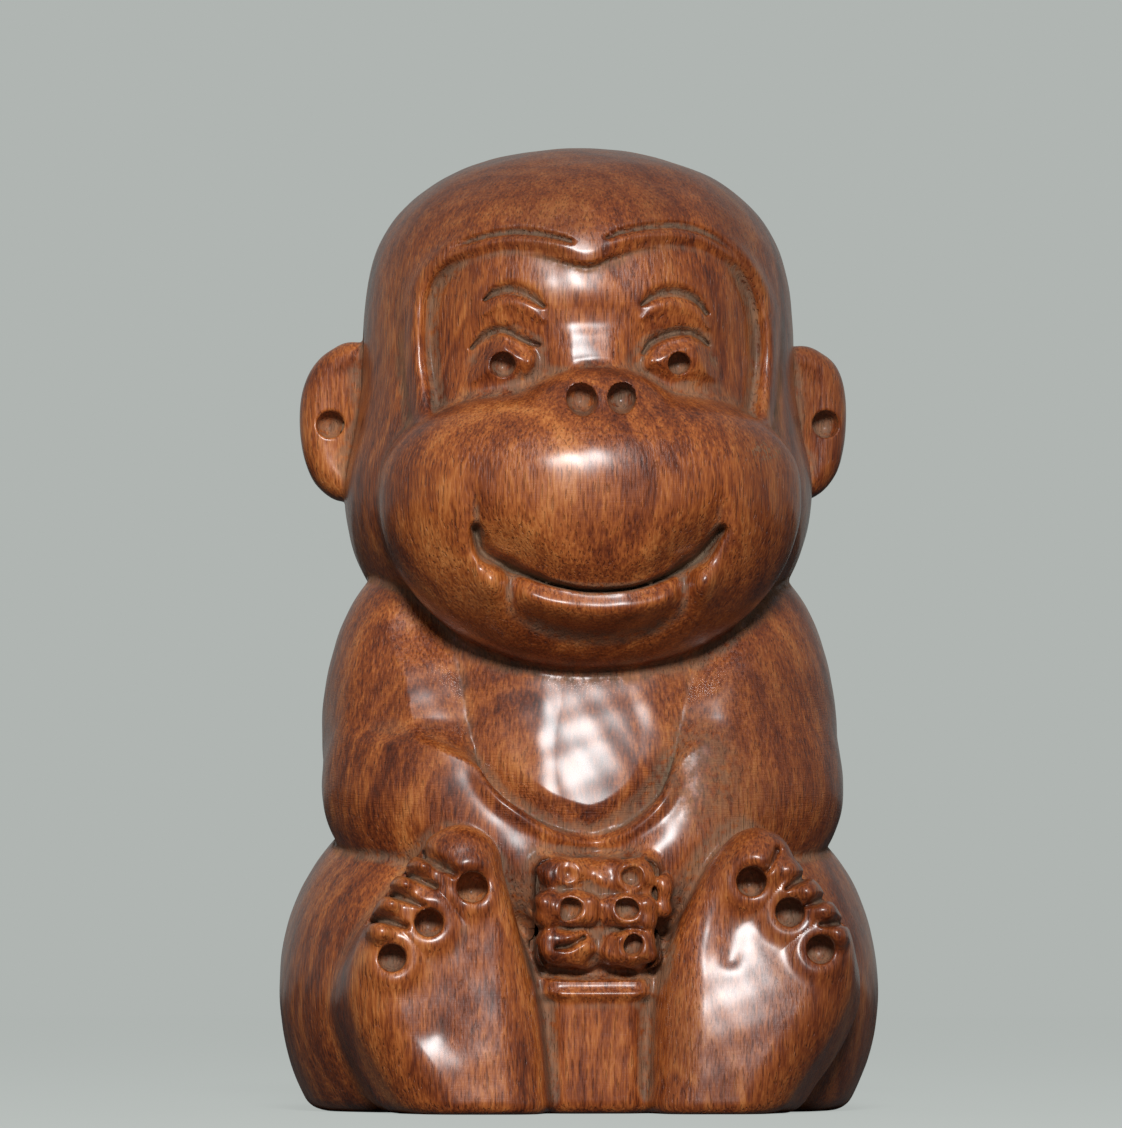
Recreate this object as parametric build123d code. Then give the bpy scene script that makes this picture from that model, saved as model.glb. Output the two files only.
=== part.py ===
from build123d import *
import os

# A seated monkey, carved from a block of red-brown hardwood, about 70 mm tall.
# It sits on a flat sawn base with both soles to the front and its hands together between the feet.
# Front is -Y, X runs to the viewer's right, Z is up, and the base lies at Z = 0.
# The block is divided at the lines that the carver cut, one solid for each carved mass.
# A size is in millimetres. A share is a part of the size that its comment names.

# Trunk: the round core under the head, flat at its foot
TRUNK_WIDTH = 33.0
TRUNK_DEPTH = 27.0
TRUNK_HEIGHT = 39.0
TRUNK_SWELL_SHARE = 0.385  # height of the widest level, of the trunk height
TRUNK_BACK_SHARE = 0.1  # how far the trunk's axis lies behind the figure's middle, of its depth

# Head: a round domed crown that swells into jowls, let into the top of the trunk
HEAD_WIDTH = 31.2
HEAD_HEIGHT = 38.0
HEAD_SINK = 7.0  # how deep the head stands in the trunk
HEAD_BACK = 2.0  # how far its axis lies behind the figure's middle
# Radius and height down the outline, of half the width and of the height, from a small flat
# on the crown to a flat underside
HEAD_OUTLINE_SHARES = [
    (0.14, 1.0),
    (0.4, 0.982),
    (0.655, 0.93),
    (0.83, 0.866),
    (0.925, 0.8),
    (0.985, 0.7),
    (1.0, 0.6),
    (1.035, 0.475),
    (1.085, 0.355),
    (1.07, 0.27),
    (1.02, 0.205),
    (0.9, 0.13),
    (0.7, 0.05),
]

# Face: the heart-shaped plate inside the hood, a step lower than the hood's surface
FACE_WIDTH = 25.8
FACE_RECESS = 0.9
FACE_POCKET_DEPTH = 9.0  # how far the plate is let into the head, from the head's front
FACE_TOP_SHARE = 0.803  # height of the two lobes, of the head height
FACE_FOOT_SHARE = 0.36  # height of its lower edge behind the muzzle, of the head height
# Half outline from the dip between the lobes to the lower corner, of half the width and of the height
FACE_OUTLINE_SHARES = [
    (0.0, 0.9),
    (0.17, 0.963),
    (0.42, 1.0),
    (0.68, 0.975),
    (0.86, 0.875),
    (0.97, 0.7),
    (1.0, 0.5),
    (0.96, 0.3),
    (0.86, 0.0),
]
HOOD_GROOVE_RADIUS = 0.35
HOOD_GROOVE_MARGIN = 1.1  # distance of the groove outside the face's outline

# Eyes: a raised almond with a drilled pupil, under an arched lid line and a brow
EYE_SPACING = 12.8
EYE_WIDTH = 5.0
EYE_HEIGHT = 4.0
EYE_BULGE = 2.0  # depth of the almond, half of it sunk in the plate
EYE_LEVEL_SHARE = 0.55  # of the head height
PUPIL_RADIUS = 0.8
PUPIL_DEPTH = 1.4
LID_RADIUS = 0.3
LID_GAP = 0.5  # between the almond's top and the lid line
BROW_SPACING = 11.8
BROW_WIDTH = 4.8
BROW_RISE = 1.0
BROW_RADIUS = 0.35
BROW_LEVEL_SHARE = 0.69  # of the head height

# Muzzle: the broad snout, nearly flat above and a round bowl below, that carries the nose
MUZZLE_WIDTH = 30.3
MUZZLE_DEPTH = 20.4
MUZZLE_HEIGHT = 20.6
MUZZLE_REACH = 8.3  # how far its middle lies before the figure's middle
MUZZLE_LEVEL_SHARE = 0.25  # height of its middle, of the head height
MUZZLE_CROWN_SHARE = 0.35  # how much of its height lies above its widest level
NOSE_WIDTH = 7.4
NOSE_DEPTH = 6.0
NOSE_HEIGHT = 5.6
NOSE_LEVEL_SHARE = 0.84  # height of its middle above the muzzle's, of half the muzzle height
NOSTRIL_RADIUS = 1.0
NOSTRIL_SPACING = 2.9
NOSTRIL_DEPTH = 1.8
NOSTRIL_TILT = 25.0  # degrees that the drilling points upwards

# Jaw: the lower lip and chin, under the smile
SMILE_WIDTH = 17.2
SMILE_SAG = 4.2  # how far the middle hangs below the corners
SMILE_DROP = 0.7  # how far its corners lie below the muzzle's middle
MOUTH_GAP = 0.7  # open height of the smile
JAW_DROP = 0.4  # how far the jaw lies inside the muzzle's surface
JAW_FOOT_SHARE = 0.62  # half width of the chin's cut, of half the smile

# Ears: rounded plates on the sides of the head, each with a hole drilled from the front
EAR_WIDTH = 7.9  # from the root inside the head to the rim
EAR_HEIGHT = 11.3
EAR_THICKNESS = 4.4
EAR_ROUNDING = 1.7
EAR_REACH = 19.9  # from the figure's middle to the rim
EAR_BACK = 4.5  # how far the ear's middle lies behind the figure's middle
EAR_LEVEL_SHARE = 0.473  # height of its middle, of the head height
EAR_HOLE_RADIUS = 1.0
EAR_HOLE_DEPTH = 1.8
EAR_HOLE_IN = 1.9  # from the rim to the hole's middle
# Outline from the root over the top to the root again, of the ear's width and height
EAR_OUTLINE_SHARES = [
    (0.0, 0.92),
    (0.5, 1.0),
    (0.78, 0.955),
    (0.94, 0.84),
    (1.0, 0.63),
    (0.99, 0.39),
    (0.92, 0.2),
    (0.76, 0.06),
    (0.6, 0.0),
    (0.0, 0.1),
]

# Chest: the smooth bib between the arms, ending below in a U
CHEST_WIDTH = 18.4
CHEST_DEPTH = 20.4
CHEST_HEIGHT = 30.0
CHEST_REACH = 1.4  # how far its middle lies before the figure's middle
CHEST_LEVEL_SHARE = 0.64  # height of its middle, of the trunk height
CHEST_PLATE_DEPTH = 5.0  # thickness at its crown
CHEST_FOOT_SHARE = 0.505  # height of the lowest point of the U, of the trunk height
# Half outline from the U's lowest point to its upper corner, of half the width and of its height
CHEST_OUTLINE_SHARES = [
    (0.0, 0.0),
    (0.28, 0.03),
    (0.52, 0.12),
    (0.7, 0.24),
    (0.82, 0.42),
    (0.9, 0.6),
    (1.0, 1.0),
]
CHEST_TOP_SHARE = 0.93  # height of its upper corners, of the trunk height

# Arms: a heavy upper arm, a rounded elbow and a forearm that runs in to the hands
SHOULDER_WIDTH = 14.0
SHOULDER_DEPTH = 18.0
SHOULDER_HEIGHT = 24.4
SHOULDER_SPACING = 23.2
SHOULDER_LEVEL_SHARE = 0.718  # height of the upper arm's middle, of the trunk height
ELBOW_DIAMETER = 12.2
ELBOW_SPACING = 24.6
ELBOW_REACH = 3.0
ELBOW_LEVEL_SHARE = 0.6  # of the trunk height
FOREARM_LENGTH = 19.0
FOREARM_DIAMETER = 9.4
FOREARM_SPACING = 16.0
FOREARM_REACH = 8.2
FOREARM_LEVEL_SHARE = 0.52  # of the trunk height
FOREARM_TURN = 36.0  # degrees inward, seen from the front
FOREARM_SWING = 34.0  # degrees forward, seen from above

# Hands: two small fists side by side, each with three fingers parted by notches and drilled
HAND_WIDTH = 4.5
HAND_DEPTH = 6.0
HAND_HEIGHT = 8.0
HAND_GAP = 0.3  # between the two hands
HAND_FRONT = 16.0  # from the figure's middle to the knuckles
HAND_FOOT_SHARE = 0.26  # height of the lowest finger, of the trunk height
HAND_ROUNDING = 1.2
FINGER_COUNT = 3
FINGER_NOTCH_RADIUS = 0.4
FINGER_HOLE_RADIUS = 0.72
FINGER_HOLE_DEPTH = 1.3

# Haunches: the folded legs, rounded and cut flat at the base
HAUNCH_WIDTH = 20.8
HAUNCH_DEPTH = 28.0
HAUNCH_HEIGHT = 27.4
HAUNCH_SPACING = 22.6
HAUNCH_LEVEL = 8.8  # height of its middle above the base
HAUNCH_BACK = 1.4  # how far its middle lies behind the figure's middle

# Feet: upright soles, leaning back a little, with a big toe, small toes and three drilled pads
FOOT_WIDTH = 12.9
FOOT_HEIGHT = 20.4
FOOT_THICKNESS = 8.0
FOOT_ROUNDING = 1.5
FOOT_INSET = 4.8  # from the figure's middle to the inner edge of the heel
FOOT_FRONT = 18.3  # from the figure's middle to the front of the heel
FOOT_LEAN = 8.0  # degrees
# Closed outline from the heel's inner edge over the toes, running on below the base
FOOT_OUTLINE_SHARES = [
    (0.04, -0.1),
    (0.0, 0.2),
    (0.03, 0.62),
    (0.15, 0.9),
    (0.38, 1.0),
    (0.68, 0.915),
    (0.92, 0.69),
    (0.99, 0.42),
    (0.82, 0.14),
    (0.56, -0.12),
    (0.25, -0.24),
]
BIG_TOE_WIDTH = 5.6
BIG_TOE_DEPTH = 5.0
BIG_TOE_HEIGHT = 4.6
BIG_TOE_PLACE_SHARES = (0.36, 0.9)  # of the foot's width and height
SMALL_TOE_WIDTH = 2.6
SMALL_TOE_DEPTH = 4.2
SMALL_TOE_HEIGHT = 2.6
SMALL_TOE_PLACE_SHARES = [(0.65, 0.865), (0.77, 0.79), (0.87, 0.695), (0.935, 0.59)]
PAD_HOLE_RADIUS = 1.2
PAD_HOLE_DEPTH = 2.2
PAD_HOLE_PLACE_SHARES = [(0.4, 0.77), (0.64, 0.67), (0.84, 0.545)]

# Seat: the plain block between the feet, under the hands
SEAT_WIDTH = 12.0
SEAT_DEPTH = 14.0
SEAT_HEIGHT = 8.6
SEAT_FRONT = 14.6  # from the figure's middle to its face
SEAT_ROUNDING = 0.6

# One overrun serves every cut that has to pass right through
OVERRUN = 30.0


def ellipsoid(width, depth, height, x, y, z):
    """An egg of three diameters about a centre."""
    return Pos(x, y, z) * scale(Sphere(1), by=(width / 2, depth / 2, height / 2))


def turned(points):
    """An upright solid turned from (radius, height) points, with a flat at its top and foot."""
    top = points[0]
    foot = points[-1]
    middle = Line((0, foot[1]), (0, top[1]))
    outline = [Spline(*points), Line(foot, middle @ 0), middle, Line(middle @ 1, top)]
    return Rot(90, 0, 0) * revolve(make_face(outline), axis=Axis.Y)


def along_y(outline, near, far):
    """A prism of a closed outline of (x, z) points, between two depths."""
    sketch = make_face(outline)
    return extrude(Pos(0, near, 0) * sketch, amount=far - near, dir=(0, 1, 0))


def front_point(x, z):
    return Vector(x, 0, z)


def drilled(x, y, z, radius, depth, tilt=0.0):
    """A round-nosed drill that enters at a point of the front and points backwards."""
    shank = Cylinder(radius, OVERRUN, align=(Align.CENTER, Align.CENTER, Align.MIN))
    bit = shank + Sphere(radius)
    return Pos(x, y, z) * Rot(90 - tilt, 0, 0) * Pos(0, 0, radius - depth) * bit


def groove(path, radius):
    """A round-bottomed gouge line that follows a path."""
    start = Plane(origin=path @ 0, z_dir=path % 0)
    return sweep(start * Circle(radius), path=path)


def other_side(shape):
    return mirror(shape, about=Plane.YZ)


def pair(shape):
    return [shape, other_side(shape)]


def carve(shape, tools):
    """The shape less its neighbours, keeping its largest solid."""
    for tool in tools:
        shape = max((shape - tool).solids(), key=lambda solid: solid.volume)
    return shape


def above_base(shape):
    """The part of a shape above the flat sawn base."""
    space = Box(4 * OVERRUN, 4 * OVERRUN, 4 * OVERRUN, align=(Align.CENTER, Align.CENTER, Align.MIN))
    return shape & space


def one_side(shape):
    """The part of a shape at the viewer's right of the figure's middle."""
    space = Box(4 * OVERRUN, 4 * OVERRUN, 4 * OVERRUN, align=(Align.MIN, Align.CENTER, Align.CENTER))
    return shape & space


HEAD_BASE = TRUNK_HEIGHT - HEAD_SINK
HEAD_FRONT = HEAD_BACK - HEAD_WIDTH / 2
MUZZLE_LEVEL = HEAD_BASE + MUZZLE_LEVEL_SHARE * HEAD_HEIGHT
MUZZLE_FRONT = -MUZZLE_REACH - MUZZLE_DEPTH / 2


def head_form(inset=0.0):
    """The turned form of the head, drawn in from its surface by an inset."""
    radius = HEAD_WIDTH / 2 - inset
    height = HEAD_HEIGHT - 2 * inset
    points = [(r * radius, h * height) for r, h in HEAD_OUTLINE_SHARES]
    return Pos(0, HEAD_BACK, HEAD_BASE + inset) * turned(points)


def face_outline(margin=0.0):
    """The heart-shaped outline of the face in the front plane."""
    foot = HEAD_BASE + FACE_FOOT_SHARE * HEAD_HEIGHT
    tall = (FACE_TOP_SHARE - FACE_FOOT_SHARE) * HEAD_HEIGHT + margin
    wide = FACE_WIDTH / 2 + margin
    return [front_point(x * wide, foot + z * tall) for x, z in FACE_OUTLINE_SHARES]


def face_pocket():
    half = face_outline()
    mirrored = [front_point(-p.X, p.Z) for p in half]
    left = Spline(*half)
    right = Spline(*mirrored)
    foot = Line(half[-1], mirrored[-1])
    return along_y([left, foot, right], HEAD_FRONT - OVERRUN, HEAD_FRONT + FACE_POCKET_DEPTH)


def on_front(form, x, z):
    """The depth of a form's front surface at a place in the front plane."""
    ray = Axis(origin=(x, -4 * OVERRUN, z), direction=(0, 1, 0))
    return min(hit[0].Y for hit in form.find_intersection_points(ray))


def arc_on(form, middle_x, level, width, rise, radius):
    """A gouge line over a form: an arch of a width and rise, seen from the front."""
    shares = [(-0.5, 0.0), (-0.25, 0.75), (0.0, 1.0), (0.25, 0.75), (0.5, 0.0)]
    points = []
    for across, up in shares:
        x = middle_x + across * width
        z = level + up * rise
        points.append((x, on_front(form, x, z), z))
    return groove(Spline(*points), radius)


def make_face_plate(pocket):
    form = head_form(FACE_RECESS)
    plate = form & pocket
    eye_level = HEAD_BASE + EYE_LEVEL_SHARE * HEAD_HEIGHT
    brow_level = HEAD_BASE + BROW_LEVEL_SHARE * HEAD_HEIGHT
    for side in (-1, 1):
        x = side * EYE_SPACING / 2
        skin = on_front(form, x, eye_level)
        plate = plate + ellipsoid(EYE_WIDTH, EYE_BULGE, EYE_HEIGHT, x, skin, eye_level)
        plate = plate - drilled(x, skin - EYE_BULGE / 2, eye_level, PUPIL_RADIUS, PUPIL_DEPTH)
        lid_foot = eye_level + EYE_HEIGHT / 4
        lid_rise = EYE_HEIGHT / 4 + LID_GAP
        plate = plate - arc_on(form, x, lid_foot, EYE_WIDTH + LID_GAP, lid_rise, LID_RADIUS)
        brow_x = side * BROW_SPACING / 2
        plate = plate - arc_on(form, brow_x, brow_level, BROW_WIDTH, BROW_RISE, BROW_RADIUS)
    return plate


def hood_groove():
    """The fine line that runs round the face over both lobes."""
    form = head_form()
    cutters = []
    for side in (-1, 1):
        outline = face_outline(HOOD_GROOVE_MARGIN)[1:7]
        points = [(side * p.X, on_front(form, side * p.X, p.Z), p.Z) for p in outline]
        cutters.append(groove(Spline(*points), HOOD_GROOVE_RADIUS))
    return cutters


def muzzle_form(inset=0.0):
    """The snout without its nose, drawn in by an inset: a low crown above a deep bowl."""
    wide = MUZZLE_WIDTH - 2 * inset
    deep = MUZZLE_DEPTH - 2 * inset
    widest = MUZZLE_LEVEL + (1 / 2 - MUZZLE_CROWN_SHARE) * MUZZLE_HEIGHT
    crown = 2 * (MUZZLE_CROWN_SHARE * MUZZLE_HEIGHT - inset)
    bowl = 2 * ((1 - MUZZLE_CROWN_SHARE) * MUZZLE_HEIGHT - inset)
    above = above_base(ellipsoid(wide, deep, crown, 0, 0, 0))
    below = above_base(ellipsoid(wide, deep, bowl, 0, 0, 0))
    return Pos(0, -MUZZLE_REACH, widest) * (above + mirror(below, about=Plane.XY))


def nose_form():
    level = MUZZLE_LEVEL + NOSE_LEVEL_SHARE * MUZZLE_HEIGHT / 2
    front = on_front(muzzle_form(), 0, level)
    return ellipsoid(NOSE_WIDTH, NOSE_DEPTH, NOSE_HEIGHT, 0, front + NOSE_DEPTH / 4, level)


def jaw_zone():
    """The prism under the smile that parts the jaw from the muzzle."""
    corner = MUZZLE_LEVEL - SMILE_DROP
    half = SMILE_WIDTH / 2
    low = MUZZLE_LEVEL - MUZZLE_HEIGHT
    smile = ThreePointArc(
        front_point(-half, corner), front_point(0, corner - SMILE_SAG), front_point(half, corner)
    )
    foot = JAW_FOOT_SHARE * half
    sides = [
        Line(front_point(half, corner), front_point(foot, low)),
        Line(front_point(foot, low), front_point(-foot, low)),
        Line(front_point(-foot, low), front_point(-half, corner)),
    ]
    return along_y([smile, *sides], MUZZLE_FRONT - OVERRUN, -MUZZLE_REACH)


def make_muzzle(snout, zone):
    """The snout above the smile, with its two nostrils drilled upwards."""
    level = MUZZLE_LEVEL + NOSE_LEVEL_SHARE * MUZZLE_HEIGHT / 2
    muzzle = snout - zone
    for side in (-1, 1):
        x = side * NOSTRIL_SPACING / 2
        skin = on_front(snout, x, level)
        muzzle = muzzle - drilled(x, skin, level, NOSTRIL_RADIUS, NOSTRIL_DEPTH, NOSTRIL_TILT)
    return muzzle


def make_jaw(zone):
    """The lower lip and chin, a step inside the muzzle and open to it along the smile."""
    return muzzle_form(JAW_DROP) & zone & Pos(0, 0, -MOUTH_GAP) * zone


def ear_form():
    """One ear at the viewer's right, with its drilled hole."""
    root = EAR_REACH - EAR_WIDTH
    foot = HEAD_BASE + EAR_LEVEL_SHARE * HEAD_HEIGHT - EAR_HEIGHT / 2
    points = [front_point(root + x * EAR_WIDTH, foot + z * EAR_HEIGHT) for x, z in EAR_OUTLINE_SHARES]
    outline = [Spline(*points), Line(points[-1], points[0])]
    near = EAR_BACK - EAR_THICKNESS / 2
    plate = along_y(outline, near, near + EAR_THICKNESS)
    rim = [e for e in plate.edges() if e.geom_type == GeomType.BSPLINE]
    plate = fillet(rim, radius=EAR_ROUNDING)
    hole_x = EAR_REACH - EAR_HOLE_IN
    hole_z = foot + EAR_HEIGHT / 2
    return plate - drilled(hole_x, near, hole_z, EAR_HOLE_RADIUS, EAR_HOLE_DEPTH)


def chest_zone():
    """The prism of the bib's U, from before the figure to the back of the bib."""
    foot = CHEST_FOOT_SHARE * TRUNK_HEIGHT
    tall = (CHEST_TOP_SHARE - CHEST_FOOT_SHARE) * TRUNK_HEIGHT
    half = [front_point(x * CHEST_WIDTH / 2, foot + z * tall) for x, z in CHEST_OUTLINE_SHARES]
    mirrored = [front_point(-p.X, p.Z) for p in half[1:]]
    outline = [Spline(*reversed(mirrored), *half), Line(half[-1], mirrored[-1])]
    crown = -CHEST_REACH - CHEST_DEPTH / 2
    return along_y(outline, crown - OVERRUN, crown + CHEST_PLATE_DEPTH)


def chest_form(zone):
    """The bib: a crowned plate inside the U."""
    level = CHEST_LEVEL_SHARE * TRUNK_HEIGHT
    body = ellipsoid(2 * CHEST_WIDTH, CHEST_DEPTH, CHEST_HEIGHT, 0, -CHEST_REACH, level)
    return body & zone


def arm_form():
    """One arm at the viewer's right: upper arm, elbow and forearm in one."""
    upper = ellipsoid(
        SHOULDER_WIDTH,
        SHOULDER_DEPTH,
        SHOULDER_HEIGHT,
        SHOULDER_SPACING / 2,
        0,
        SHOULDER_LEVEL_SHARE * TRUNK_HEIGHT,
    )
    elbow = Pos(ELBOW_SPACING / 2, -ELBOW_REACH, ELBOW_LEVEL_SHARE * TRUNK_HEIGHT) * Sphere(
        ELBOW_DIAMETER / 2
    )
    fore = ellipsoid(FOREARM_LENGTH, FOREARM_DIAMETER, FOREARM_DIAMETER, 0, 0, 0)
    fore = Rot(0, 0, FOREARM_SWING) * Rot(0, -FOREARM_TURN, 0) * fore
    place = Pos(FOREARM_SPACING / 2, -FOREARM_REACH, FOREARM_LEVEL_SHARE * TRUNK_HEIGHT)
    return upper + elbow + place * fore


def hand_mass():
    """One fist at the viewer's right, plain."""
    middle = HAND_GAP / 2 + HAND_WIDTH / 2
    level = HAND_FOOT_SHARE * TRUNK_HEIGHT + HAND_HEIGHT / 2
    block = Box(HAND_WIDTH, HAND_DEPTH, HAND_HEIGHT)
    front = block.faces().sort_by(Axis.Y)[0].edges()
    return Pos(middle, -HAND_FRONT + HAND_DEPTH / 2, level) * fillet(front, radius=HAND_ROUNDING)


def make_hand(fist):
    """The fist with its fingers parted by notches and each drilled."""
    middle = HAND_GAP / 2 + HAND_WIDTH / 2
    foot = HAND_FOOT_SHARE * TRUNK_HEIGHT
    pitch = HAND_HEIGHT / FINGER_COUNT
    for finger in range(FINGER_COUNT):
        level = foot + (finger + 1 / 2) * pitch
        fist = fist - drilled(middle, -HAND_FRONT, level, FINGER_HOLE_RADIUS, FINGER_HOLE_DEPTH)
        if finger:
            notch = Rot(0, 90, 0) * Cylinder(FINGER_NOTCH_RADIUS, 2 * HAND_WIDTH)
            fist = fist - Pos(middle, -HAND_FRONT, foot + finger * pitch) * notch
    return fist


def haunch_form():
    egg = ellipsoid(
        HAUNCH_WIDTH, HAUNCH_DEPTH, HAUNCH_HEIGHT, HAUNCH_SPACING / 2, HAUNCH_BACK, HAUNCH_LEVEL
    )
    return above_base(one_side(egg))


def foot_place(shape):
    """A shape on the sole's own axes, leant back and set in its place."""
    leaning = Rot(-FOOT_LEAN, 0, 0) * shape
    return above_base(Pos(FOOT_INSET, -FOOT_FRONT, 0) * leaning)


def toe(width, depth, height, place):
    across, up = place
    return ellipsoid(width, depth, height, across * FOOT_WIDTH, depth / 3, up * FOOT_HEIGHT)


def sole_form():
    """One foot at the viewer's right with its toes, on its own axes."""
    points = [front_point(x * FOOT_WIDTH, z * FOOT_HEIGHT) for x, z in FOOT_OUTLINE_SHARES]
    sole = along_y([Spline(*points, periodic=True)], 0, FOOT_THICKNESS)
    rim = sole.faces().sort_by(Axis.Y)[0].edges()
    foot = fillet(rim, radius=FOOT_ROUNDING)
    foot = foot + toe(BIG_TOE_WIDTH, BIG_TOE_DEPTH, BIG_TOE_HEIGHT, BIG_TOE_PLACE_SHARES)
    for place in SMALL_TOE_PLACE_SHARES:
        foot = foot + toe(SMALL_TOE_WIDTH, SMALL_TOE_DEPTH, SMALL_TOE_HEIGHT, place)
    return foot


def drilled_sole(foot):
    for across, up in PAD_HOLE_PLACE_SHARES:
        x = across * FOOT_WIDTH
        z = up * FOOT_HEIGHT
        foot = foot - drilled(x, 0, z, PAD_HOLE_RADIUS, PAD_HOLE_DEPTH)
    return foot


def seat_form():
    block = Pos(0, -SEAT_FRONT + SEAT_DEPTH / 2, SEAT_HEIGHT / 2) * Box(
        SEAT_WIDTH, SEAT_DEPTH, SEAT_HEIGHT
    )
    lip = block.edges().filter_by(Axis.X).sort_by(Axis.Z)[-2:].sort_by(Axis.Y)[0]
    return fillet(lip, radius=SEAT_ROUNDING)


def trunk_form():
    level = TRUNK_SWELL_SHARE * TRUNK_HEIGHT
    tall = 2 * (TRUNK_HEIGHT - level)
    back = TRUNK_BACK_SHARE * TRUNK_DEPTH
    return above_base(ellipsoid(TRUNK_WIDTH, TRUNK_DEPTH, tall, 0, back, level))


def make_figure():
    """Every carved mass under its name, each cut back by the masses that stand before it."""
    head = head_form()
    snout = muzzle_form() + nose_form()
    pocket = face_pocket()
    smile = jaw_zone()
    bib = chest_zone()
    chest = carve(chest_form(bib), [head, snout])
    fist = hand_mass()
    sole = sole_form()
    foot = foot_place(sole)
    arm = one_side(arm_form())
    haunch = haunch_form()
    seat = seat_form()
    before_trunk = [head, snout, chest, *pair(arm), *pair(haunch), *pair(fist), *pair(foot), seat]
    single = {
        "head": carve(head, [pocket, snout, *hood_groove()]),
        "face_plate": carve(make_face_plate(pocket), [snout]),
        "muzzle": make_muzzle(snout, smile),
        "jaw": make_jaw(smile),
        "chest": chest,
        "trunk": carve(trunk_form(), before_trunk),
        "seat": carve(seat, [*pair(foot), *pair(haunch), *pair(fist)]),
    }
    double = {
        "ear": carve(ear_form(), [head]),
        "arm": carve(arm, [head, snout, bib, fist, foot]),
        "hand": make_hand(fist),
        "haunch": carve(haunch, [arm, fist, foot]),
        "foot": foot_place(drilled_sole(sole)),
    }
    for name, shape in double.items():
        single[name + "_left"] = shape
        single[name + "_right"] = other_side(shape)
    return single


def middle_depth(figure):
    """The depth halfway between the figure's front and its back."""
    boxes = [shape.bounding_box() for shape in figure.values()]
    return (min(box.min.Y for box in boxes) + max(box.max.Y for box in boxes)) / 2


def main():
    os.makedirs("parts", exist_ok=True)
    figure = make_figure()
    back = middle_depth(figure)
    for name, shape in figure.items():
        export_step(Pos(0, -back, 0) * shape, f"parts/{name}.step")


main()
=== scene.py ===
import bpy
import math
from concurrent.futures import ThreadPoolExecutor

import numpy as np
from mathutils import Matrix


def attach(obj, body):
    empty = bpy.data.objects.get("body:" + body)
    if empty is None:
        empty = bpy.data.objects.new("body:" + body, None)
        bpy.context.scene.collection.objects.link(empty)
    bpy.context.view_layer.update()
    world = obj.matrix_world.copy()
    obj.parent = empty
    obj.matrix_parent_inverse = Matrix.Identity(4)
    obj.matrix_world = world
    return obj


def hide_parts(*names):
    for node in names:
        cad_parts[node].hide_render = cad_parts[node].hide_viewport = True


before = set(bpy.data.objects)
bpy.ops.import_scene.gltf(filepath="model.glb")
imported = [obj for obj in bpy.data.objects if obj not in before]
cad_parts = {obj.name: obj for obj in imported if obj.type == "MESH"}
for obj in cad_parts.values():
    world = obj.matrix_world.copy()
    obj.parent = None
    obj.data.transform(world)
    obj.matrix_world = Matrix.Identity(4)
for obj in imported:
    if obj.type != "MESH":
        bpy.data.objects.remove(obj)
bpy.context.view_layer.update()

# The block. One block of dense red-brown hardwood, roughed out into round masses and sawn flat below.
# Every form is a distance in millimetres from its surface, negative in the wood. Front is -Y, Z is up,
# and the monkey's own left is at +X. A point p is a tuple of three arrays.
MM = 0.001


def egg(p, centre, radii):
    """A rounded mass of three radii about a centre."""
    q = [(p[i] - centre[i]) / radii[i] for i in range(3)]
    near = np.sqrt(q[0] ** 2 + q[1] ** 2 + q[2] ** 2) + 1e-6
    steep = np.sqrt(sum((q[i] / radii[i]) ** 2 for i in range(3))) + 1e-6
    return near * (near - 1) / steep


def limb(p, centre, run, long, thick):
    """An egg of revolution whose long axis lies along run."""
    q = [p[i] - centre[i] for i in range(3)]
    along = sum(q[i] * run[i] / math.hypot(*run) for i in range(3))
    across = np.sqrt(np.maximum(sum(c**2 for c in q) - along**2, 0))
    near = np.sqrt((along / long) ** 2 + (across / thick) ** 2) + 1e-6
    steep = np.sqrt((along / long**2) ** 2 + (across / thick**2) ** 2) + 1e-6
    return near * (near - 1) / steep


def blend(a, b, soft):
    """Two masses joined, with the crease between them filled by soft millimetres."""
    h = np.clip(0.5 + 0.5 * (b - a) / soft, 0, 1)
    return b + (a - b) * h - soft * h * (1 - h)


def cut(a, b, soft):
    """The mass a less whatever lies outside b, with the edge rounded."""
    return -blend(-a, -b, soft)


def rise(value, start, end):
    """0 at start, 1 at end, and smooth between them."""
    t = np.clip((value - start) / (end - start), 0, 1)
    return t * t * (3 - 2 * t)


def hump(t):
    return np.exp(-(t**2))


def curved(points, closed, pieces=10):
    """A smooth line through points, as many short straight pieces."""
    pts = np.array(points, dtype=float)
    if closed:
        pts = np.vstack([pts[-1], pts, pts[0], pts[1]])
    else:
        pts = np.vstack([2 * pts[0] - pts[1], pts, 2 * pts[-1] - pts[-2]])
    line = []
    for a, b, c, d in zip(pts[:-3], pts[1:-2], pts[2:-1], pts[3:]):
        for t in np.arange(pieces) / pieces:
            line.append(
                0.5 * (2 * b + (c - a) * t + (2 * a - 5 * b + 4 * c - d) * t**2 + (3 * b - a - 3 * c + d) * t**3)
            )
    line.append(pts[-2])
    return np.array(line)


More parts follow.
